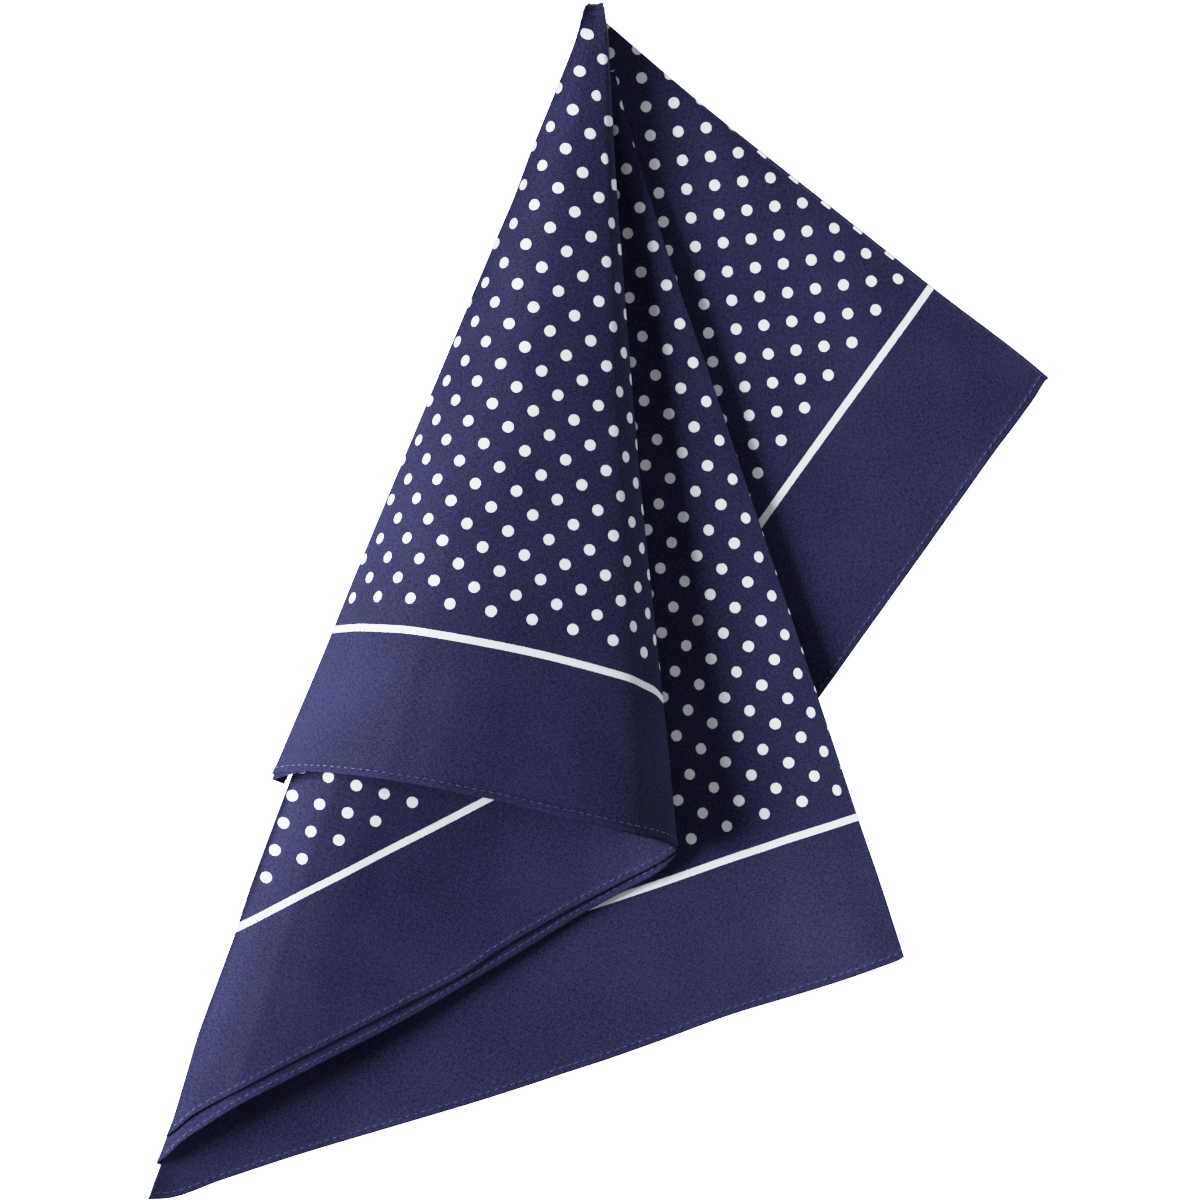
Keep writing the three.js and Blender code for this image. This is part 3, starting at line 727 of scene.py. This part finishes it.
def printed_cotton():
    """Navy plain-weave cotton with white dots, a white line and a plain border."""
    made = bpy.data.materials.get("printed_cotton_weave")
    if made:
        return made
    colours = bpy.context.scene.bandana_colours
    material = bpy.data.materials.new("printed_cotton_weave")
    material.use_nodes = True
    tree = material.node_tree
    tree.nodes.clear()
    place = wire(tree, "ShaderNodeUVMap", uv_map=CLOTH_MAP).outputs[0]
    in_mm = wire(tree, "ShaderNodeVectorMath", {0: place, 3: 1 / MM}, operation="SCALE").outputs[0]
    split = wire(tree, "ShaderNodeSeparateXYZ", (in_mm,))
    across = maths(tree, "ABSOLUTE", split.outputs[0])
    down = split.outputs[1]

    # The print bleeds a little at its edges
    bleed = wire(tree, "ShaderNodeTexNoise", {"Vector": in_mm, "Scale": 1.6, "Detail": 2.0, "Roughness": 0.6})
    spread = maths(tree, "MULTIPLY", maths(tree, "SUBTRACT", bleed.outputs[0], 0.5), 0.5)
    white = dots_and_line(tree, maths(tree, "ADD", across, spread), maths(tree, "ADD", down, spread))

    slub_a, wave_a = threads(tree, across, down, 0.42)
    slub_b, wave_b = threads(tree, down, across, 0.40)
    weave = maths(tree, "MULTIPLY", maths(tree, "ADD", wave_a, wave_b), 0.5)
    slubs = maths(tree, "MULTIPLY", maths(tree, "ADD", slub_a, slub_b), 0.5)
    wide = {"Vector": in_mm, "Scale": 0.035, "Detail": 3.0, "Roughness": 0.55}
    cloudy = wire(tree, "ShaderNodeTexNoise", wide)
    grain = wire(tree, "ShaderNodeTexNoise", {"Vector": in_mm, "Scale": 2.6, "Detail": 2.0})

    # Slubs tell most in the tone, then the grain, then a cloudiness some centimetres wide
    tone = between(tree, slubs, 0.38, 0.62, -1.0, 1.0)
    tone = maths(tree, "ADD", tone, between(tree, grain.outputs[0], 0.35, 0.65, -0.6, 0.6))
    tone = maths(tree, "ADD", tone, between(tree, cloudy.outputs[0], 0.3, 0.7, -0.3, 0.3))
    tone = between(tree, tone, -1.0, 1.0)
    navy = blended(tree, tone, (*colours.navy_deep, 1), (*colours.navy_worn, 1))
    raised = between(tree, slubs, 0.3, 0.7)
    print_white = blended(tree, raised, (*colours.white_shade, 1), (*colours.white, 1))

    relief = maths(tree, "ADD", maths(tree, "MULTIPLY", weave, 0.5), maths(tree, "MULTIPLY", slubs, 1.2))
    bump = wire(tree, "ShaderNodeBump", {"Strength": 0.35, "Distance": 0.1 * MM, "Height": relief})
    shader = wire(tree, "ShaderNodeBsdfPrincipled", {
        "Base Color": blended(tree, white, navy, print_white),
        "Normal": bump.outputs[0],
        "Roughness": 0.82,
        "Specular IOR Level": 0.04,
        "Sheen Weight": 0.03,
        "Sheen Roughness": 0.4,
        "Sheen Tint": (0.6, 0.65, 1.0, 1.0),
    })
    wire(tree, "ShaderNodeOutputMaterial", (shader.outputs[0],))
    return material


def thread_material():
    """Light blue sewing thread, shaded by its twist."""
    made = bpy.data.materials.get("stitching_thread")
    if made:
        return made
    material = bpy.data.materials.new("stitching_thread")
    material.use_nodes = True
    tree = material.node_tree
    shader = tree.nodes["Principled BSDF"]
    place = wire(tree, "ShaderNodeTexCoord").outputs["Object"]
    twist = wire(tree, "ShaderNodeTexNoise", {"Vector": place, "Scale": 2500.0, "Detail": 2.0})
    lit = between(tree, twist.outputs[0], 0.3, 0.7)
    colours = bpy.context.scene.bandana_colours
    tone = blended(tree, lit, (*colours.thread_shade, 1), (*colours.thread, 1))
    tree.links.new(tone, shader.inputs["Base Color"])
    shader.inputs["Roughness"].default_value = 0.6
    return material


# Stitches


def stitch_rows():
    """A node tree that sews running stitches along a line, with its sizes as inputs."""
    made = bpy.data.node_groups.get("running_stitches")
    if made:
        return made
    tree = bpy.data.node_groups.new("running_stitches", "GeometryNodeTree")
    tree.interface.new_socket("Line", in_out="INPUT", socket_type="NodeSocketGeometry")
    for name in ("Pitch", "Length", "Thickness"):
        tree.interface.new_socket(name, in_out="INPUT", socket_type="NodeSocketFloat")
    tree.interface.new_socket("Thread", in_out="INPUT", socket_type="NodeSocketMaterial")
    tree.interface.new_socket("Stitches", in_out="OUTPUT", socket_type="NodeSocketGeometry")
    given = tree.nodes.new("NodeGroupInput").outputs
    curve = wire(tree, "GeometryNodeMeshToCurve", (given["Line"],)).outputs[0]
    spacing = {"Curve": curve, "Length": given["Pitch"]}
    even = wire(tree, "GeometryNodeResampleCurve", spacing, mode="LENGTH").outputs[0]
    ball = {"Segments": 8, "Rings": 6, "Radius": 0.5}
    stitch = wire(tree, "GeometryNodeMeshUVSphere", ball).outputs["Mesh"]
    sides = (given["Length"], given["Thickness"], given["Thickness"])
    size = wire(tree, "ShaderNodeCombineXYZ", sides).outputs[0]
    shaped = wire(tree, "GeometryNodeTransform", {"Geometry": stitch, "Scale": size}).outputs[0]
    tangent = tree.nodes.new("GeometryNodeInputTangent").outputs[0]
    turned = wire(tree, "FunctionNodeAlignRotationToVector", {"Vector": tangent}, axis="X").outputs[0]
    uneven = wire(tree, "FunctionNodeRandomValue", {"Seed": 5, 2: 0.86, 3: 1.1}, data_type="FLOAT").outputs[1]
    places = {"Points": even, "Instance": shaped, "Rotation": turned, "Scale": uneven}
    placed = wire(tree, "GeometryNodeInstanceOnPoints", places).outputs[0]
    real = wire(tree, "GeometryNodeRealizeInstances", (placed,)).outputs[0]
    done = wire(tree, "GeometryNodeSetMaterial", {"Geometry": real, "Material": given["Thread"]}).outputs[0]
    wire(tree, "NodeGroupOutput", (done,))
    return tree


def add_stitches(context, name, line):
    """Sews along a line of points, in millimetres, and leaves a plain mesh."""
    sizes = context.scene.bandana_sewing
    path = bpy.data.meshes.new(name + "_line")
    path.from_pydata((line * MM).tolist(), [(i, i + 1) for i in range(len(line) - 1)], [])
    obj = bpy.data.objects.new(name, path)
    context.collection.objects.link(obj)
    modifier = obj.modifiers.new("stitches", "NODES")
    modifier.node_group = stitch_rows()
    values = {
        "Pitch": sizes.stitch_pitch,
        "Length": sizes.stitch_length,
        "Thickness": sizes.thread_width,
        "Thread": thread_material(),
    }
    for item in modifier.node_group.interface.items_tree:
        if item.in_out == "INPUT" and item.name in values:
            modifier[item.identifier] = values[item.name]
    obj.update_tag()
    context.view_layer.update()
    sewn = bpy.data.meshes.new_from_object(obj.evaluated_get(context.evaluated_depsgraph_get()))
    obj.modifiers.remove(modifier)
    obj.data = sewn
    sewn.name = name
    sewn.polygons.foreach_set("use_smooth", [True] * len(sewn.polygons))
    bpy.data.meshes.remove(path)
    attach(obj, BODY)
    return obj


# What a user would change


def length_property(name, description, millimetres):
    return FloatProperty(name=name, description=description, default=millimetres * MM, unit="LENGTH")


def angle_property(name, description, degrees):
    return FloatProperty(name=name, description=description, default=math.radians(degrees), subtype="ANGLE")


def colour_property(name, description, value):
    return FloatVectorProperty(
        name=name, description=description, default=value, size=3, subtype="COLOR", min=0, max=1)


class BandanaPrint(bpy.types.PropertyGroup):
    dot_width: length_property("Dot width", "Width of a printed dot", 3.8)
    line_width: length_property("Line width", "Width of the white line", 2.45)


class BandanaSewing(bpy.types.PropertyGroup):
    cloth_thickness: length_property("Cloth thickness", "Thickness of one layer of cloth", 0.5)
    hem_height: length_property("Hem height", "How far the turned hem stands proud", 0.28)
    stitch_pitch: length_property("Stitch pitch", "Distance from stitch to stitch", 2.9)
    stitch_length: length_property("Stitch length", "Length of a stitch that shows", 2.0)
    thread_width: length_property("Thread width", "Thickness of the sewing thread", 0.34)


class BandanaColours(bpy.types.PropertyGroup):
    navy_deep: colour_property("Navy, deep", "Darkest threads of the ground", (0.0045, 0.0045, 0.0164))
    navy_worn: colour_property("Navy, worn", "Palest threads of the ground", (0.0170, 0.0170, 0.0508))
    white: colour_property("White", "Print on the threads that stand up", (0.62, 0.625, 0.69))
    white_shade: colour_property("White, shaded", "Print between the threads", (0.45, 0.455, 0.52))
    thread: colour_property("Thread", "Lit side of the sewing thread", (0.012, 0.028, 0.105))
    thread_shade: colour_property("Thread, shaded", "Dark side of the sewing thread", (0.005, 0.013, 0.056))


class BandanaStage(bpy.types.PropertyGroup):
    view_width: length_property("View width", "Width the camera takes in", 415.2)
    lens: FloatProperty(name="Lens", description="Focal length in millimetres", default=500.0)
    key_height: angle_property("Key height", "Elevation of the key light", 21)
    key_from: angle_property("Key from", "Bearing the key light comes from", 178)
    key_strength: FloatProperty(name="Key strength", description="Strength of the key light", default=18.3)
    sky_strength: FloatProperty(name="Sky strength", description="Strength of the even light", default=0.36)


class BANDANA_OT_inner(bpy.types.Operator):
    """Makes the folded layers that hardly show, under the others"""

    bl_idname = "bandana.inner"
    bl_label = "Inner folds"

    def execute(self, context):
        grids = []
        for height, inset in INNER_LAYERS:
            heading, reaches, sides = WING_UPPER_EDGE
            wing_edge = (heading, reaches, tuple(side + inset for side in sides))
            left, right = INNER_MIDDLE_EDGES
            middle_edge = (right, *MIDDLE_RIGHT_EDGE[1:])
            wing_edges, middle_edges = (WING_LOWER_EDGE, wing_edge), (straight(left), middle_edge)
            for panel, edges in ((WING, wing_edges), (MIDDLE, middle_edges)):
                shorter = dict(panel, hem=tuple(reach - inset for reach in panel["hem"]))
                fan = Fan(shorter, edges, start=12.0, columns=40, rows=40)
                grids.append((fan.points(height), fan.uv()))
        add_cloth(context, "inner_folds_cloth", "hidden_folds", [], *grids)
        return {"FINISHED"}


class BANDANA_OT_wing(bpy.types.Operator):
    """Makes the lowest stretch, to the right"""

    bl_idname = "bandana.wing"
    bl_label = "Right wing"

    def execute(self, context):
        proud = context.scene.bandana_sewing.hem_height / MM
        fan = Fan(WING, (WING_LOWER_EDGE, WING_UPPER_EDGE), start=8.0, columns=120, rows=120)
        points, stitched = hemmed(fan, wing_height(fan), proud)
        grid = roll(points, fan.uv(), "right", floor=1.4, tuck=1.2)
        add_cloth(context, "right_wing_cloth", "right_wing", ["inner_folds_cloth"], grid)
        add_stitches(context, "wing_hem_stitches", stitched)
        return {"FINISHED"}


class BANDANA_OT_middle(bpy.types.Operator):
    """Makes the panel between the front and left panels and the wing"""

    bl_idname = "bandana.middle"
    bl_label = "Middle panel"

    def execute(self, context):
        proud = context.scene.bandana_sewing.hem_height / MM
        edges = (MIDDLE_LEFT_EDGE, MIDDLE_RIGHT_EDGE)
        fan = Fan(MIDDLE, edges, start=24.0, columns=170, rows=170, ease=0.3)
        points, stitched = hemmed(fan, middle_height(fan), proud)
        past_wing = smooth((WING_ENDS - points[-1, :, 1]) / WING_ENDS_OVER)
        floor = OVER_WING - (OVER_WING - OVER_INNER) * past_wing
        grid = roll(points, fan.uv(), "right", floor=floor, tuck=2.0)
        add_cloth(context, "middle_panel_cloth", "middle_panel", ["right_wing"], grid)
        add_stitches(context, "middle_hem_stitches", stitched)
        return {"FINISHED"}


class BANDANA_OT_left(bpy.types.Operator):
    """Makes the panel that runs to the lower left tip, and its second layer"""

    bl_idname = "bandana.left"
    bl_label = "Left panel"

    def execute(self, context):
        sizes = context.scene.bandana_sewing
        thick, proud = sizes.cloth_thickness / MM, sizes.hem_height / MM
        edges = (LEFT_LEFT_EDGE, LEFT_RIGHT_EDGE)
        fan = Fan(LEFT, edges, start=200.0, columns=150, rows=110, ease=0.3)
        points, stitched = hemmed(fan, left_height(fan), proud)
        grid = roll(points, fan.uv(), "left", floor=OVER_FLOOR, tuck=4.0)
        add_cloth(context, "left_panel_cloth", "left_panel", ["middle_panel"], grid)
        add_stitches(context, "left_hem_stitches", stitched)

        under = Fan(LEFT, edges, start=240.0, columns=130, rows=60, hem="under_hem", ease=0.3)
        points, stitched = hemmed(under, left_height(under) - thick - LEFT_LAYERS_APART, proud)
        grid = roll(points, under.uv(), "left", floor=2.0, tuck=3.6)
        add_cloth(context, "left_under_cloth", "left_under_layer", ["middle_panel"], grid)
        add_stitches(context, "left_under_stitches", stitched)
        return {"FINISHED"}


class BANDANA_OT_front(bpy.types.Operator):
    """Makes the bowed front panel and the second layer inside it"""

    bl_idname = "bandana.front"
    bl_label = "Front panel"

    def execute(self, context):
        sizes = context.scene.bandana_sewing
        thick, proud = sizes.cloth_thickness / MM, sizes.hem_height / MM
        edges = (FRONT_LEFT_EDGE, FRONT_RIGHT_EDGE)
        fan = Fan(FRONT, edges, start=PINCH_REACH, columns=150, rows=190, ease=0.55, slack=FRONT_SLACK)
        points, stitched = hemmed(fan, front_height(fan), proud)
        grid = close_at_pinch(points, fan.uv(), CLOSES_TO)
        grid = roll(*grid, "left", floor=OVER_FLOOR, tuck=5.5)
        grid = roll(*grid, "right", floor=OVER_MIDDLE, tuck=4.0)
        add_cloth(context, "front_panel_cloth", "front_panel", ["left_panel", "middle_panel"], grid)
        add_stitches(context, "front_hem_stitches", stitched)

        under = Fan(FRONT, edges, start=150.0, columns=110, rows=60, ease=0.55)
        points = under.points(front_height(under))
        inwards = -(thick + FRONT_LAYERS_APART) + hem_raise(under.from_hem, proud) * 0.4
        points = points + normals_of(points) * inwards[..., None]
        longer = cubic(UNDER_HEM_SHOWS["heading"], UNDER_HEM_SHOWS["longer"], under.heading)
        longer = smooth((UNDER_HEM_OVER - under.from_hem) / UNDER_HEM_OVER) * longer
        bearing = np.radians(under.heading)
        points[..., 0] += longer * np.cos(bearing)
        points[..., 1] -= longer * np.sin(bearing)
        grid = roll(points, under.uv(), "left", floor=2.8, tuck=4.5)
        add_cloth(context, "front_under_cloth", "front_under_layer", ["front_panel_cloth"], grid)
        return {"FINISHED"}


# The stage


def soft_highlights(settings):
    """A plain display of the scene's colours that rolls off above the brightest cloth, as film does."""
    settings.view_transform = "Standard"
    settings.use_curve_mapping = True
    curves = settings.curve_mapping
    curves.white_level = (HIGHLIGHT_LIMIT,) * 3
    line = curves.curves[3]
    for shown, light in HIGHLIGHTS:
        line.points.new(light / HIGHLIGHT_LIMIT, shown)
    line.points[-1].location = (1.0, 1.0)
    curves.update()


def add_sun(context, name, bearing, elevation, strength, spread, colour=(1, 1, 1)):
    """Adds a distant light that comes from a bearing, anticlockwise from +X, and an elevation."""
    light = bpy.data.lights.new(name, "SUN")
    light.energy = strength
    light.angle = spread
    light.color = colour
    obj = bpy.data.objects.new(name, light)
    obj.rotation_euler = (math.pi / 2 - elevation, 0, bearing + math.pi / 2)
    context.collection.objects.link(obj)
    return obj


def add_floor(context):
    """Adds a pale floor that glows, so that it photographs white, and lights nothing."""
    mesh = bpy.data.meshes.new("pale_floor")
    corners = ((-1, -1), (1, -1), (1, 1), (-1, 1))
    places = [(x * FLOOR_HALF, y * FLOOR_HALF, -FLOOR_DROP * MM) for x, y in corners]
    mesh.from_pydata(places, [], [(0, 1, 2, 3)])
    floor = bpy.data.objects.new("pale_floor", mesh)
    context.collection.objects.link(floor)
    material = bpy.data.materials.new("pale_floor")
    material.use_nodes = True
    inputs = material.node_tree.nodes["Principled BSDF"].inputs
    inputs["Base Color"].default_value = (0.9, 0.9, 0.9, 1)
    inputs["Roughness"].default_value = 0.9
    inputs["Specular IOR Level"].default_value = 0.0
    inputs["Emission Color"].default_value = (1, 1, 1, 1)
    inputs["Emission Strength"].default_value = FLOOR_GLOW
    mesh.materials.append(material)
    floor.visible_diffuse = False


class BANDANA_OT_stage(bpy.types.Operator):
    """Makes the floor, the lights and the camera"""

    bl_idname = "bandana.stage"
    bl_label = "Stage"

    def execute(self, context):
        stage = context.scene.bandana_stage
        add_floor(context)
        world = bpy.data.worlds.new("studio")
        context.scene.world = world
        world.use_nodes = True
        background = world.node_tree.nodes["Background"]
        background.inputs[0].default_value = (1, 1, 1, 1)
        background.inputs[1].default_value = stage.sky_strength
        add_sun(context, "key_light", stage.key_from, stage.key_height, stage.key_strength, KEY_SPREAD)
        add_sun(context, "fill_light", 0.0, FILL_HEIGHT, FILL_STRENGTH, FILL_SPREAD, FILL_COLOUR)

        camera = bpy.data.cameras.new("view_from_above")
        camera.lens = stage.lens
        camera.clip_end = 50
        distance = stage.view_width * stage.lens / camera.sensor_width
        eye = bpy.data.objects.new("view_from_above", camera)
        eye.location = (VIEW_CENTRE[0] * MM, VIEW_CENTRE[1] * MM, distance)
        context.collection.objects.link(eye)
        context.scene.camera = eye
        soft_highlights(context.scene.view_settings)
        return {"FINISHED"}


class BANDANA_PT_panel(bpy.types.Panel):
    bl_label = "Folded bandana"
    bl_idname = "BANDANA_PT_panel"
    bl_space_type = "VIEW_3D"
    bl_region_type = "UI"
    bl_category = "Bandana"

    def draw(self, context):
        for name, group in GROUPS.items():
            for key in group.__annotations__:
                self.layout.prop(getattr(context.scene, name), key)
        for operator in OPERATORS:
            self.layout.operator(operator.bl_idname)


OPERATORS = (
    BANDANA_OT_stage,
    BANDANA_OT_inner,
    BANDANA_OT_wing,
    BANDANA_OT_middle,
    BANDANA_OT_left,
    BANDANA_OT_front,
)
GROUPS = {
    "bandana_print": BandanaPrint,
    "bandana_sewing": BandanaSewing,
    "bandana_colours": BandanaColours,
    "bandana_stage": BandanaStage,
}


def register():
    for group in (*GROUPS.values(), *OPERATORS, BANDANA_PT_panel):
        bpy.utils.register_class(group)
    for name, group in GROUPS.items():
        setattr(bpy.types.Scene, name, PointerProperty(type=group))


def unregister():
    for name in GROUPS:
        delattr(bpy.types.Scene, name)
    for group in (BANDANA_PT_panel, *OPERATORS, *GROUPS.values()):
        bpy.utils.unregister_class(group)


def main():
    register()
    bpy.ops.bandana.stage()
    bpy.ops.bandana.inner()
    bpy.ops.bandana.wing()
    bpy.ops.bandana.middle()
    bpy.ops.bandana.left()
    bpy.ops.bandana.front()


if __name__ == "__main__":
    main()
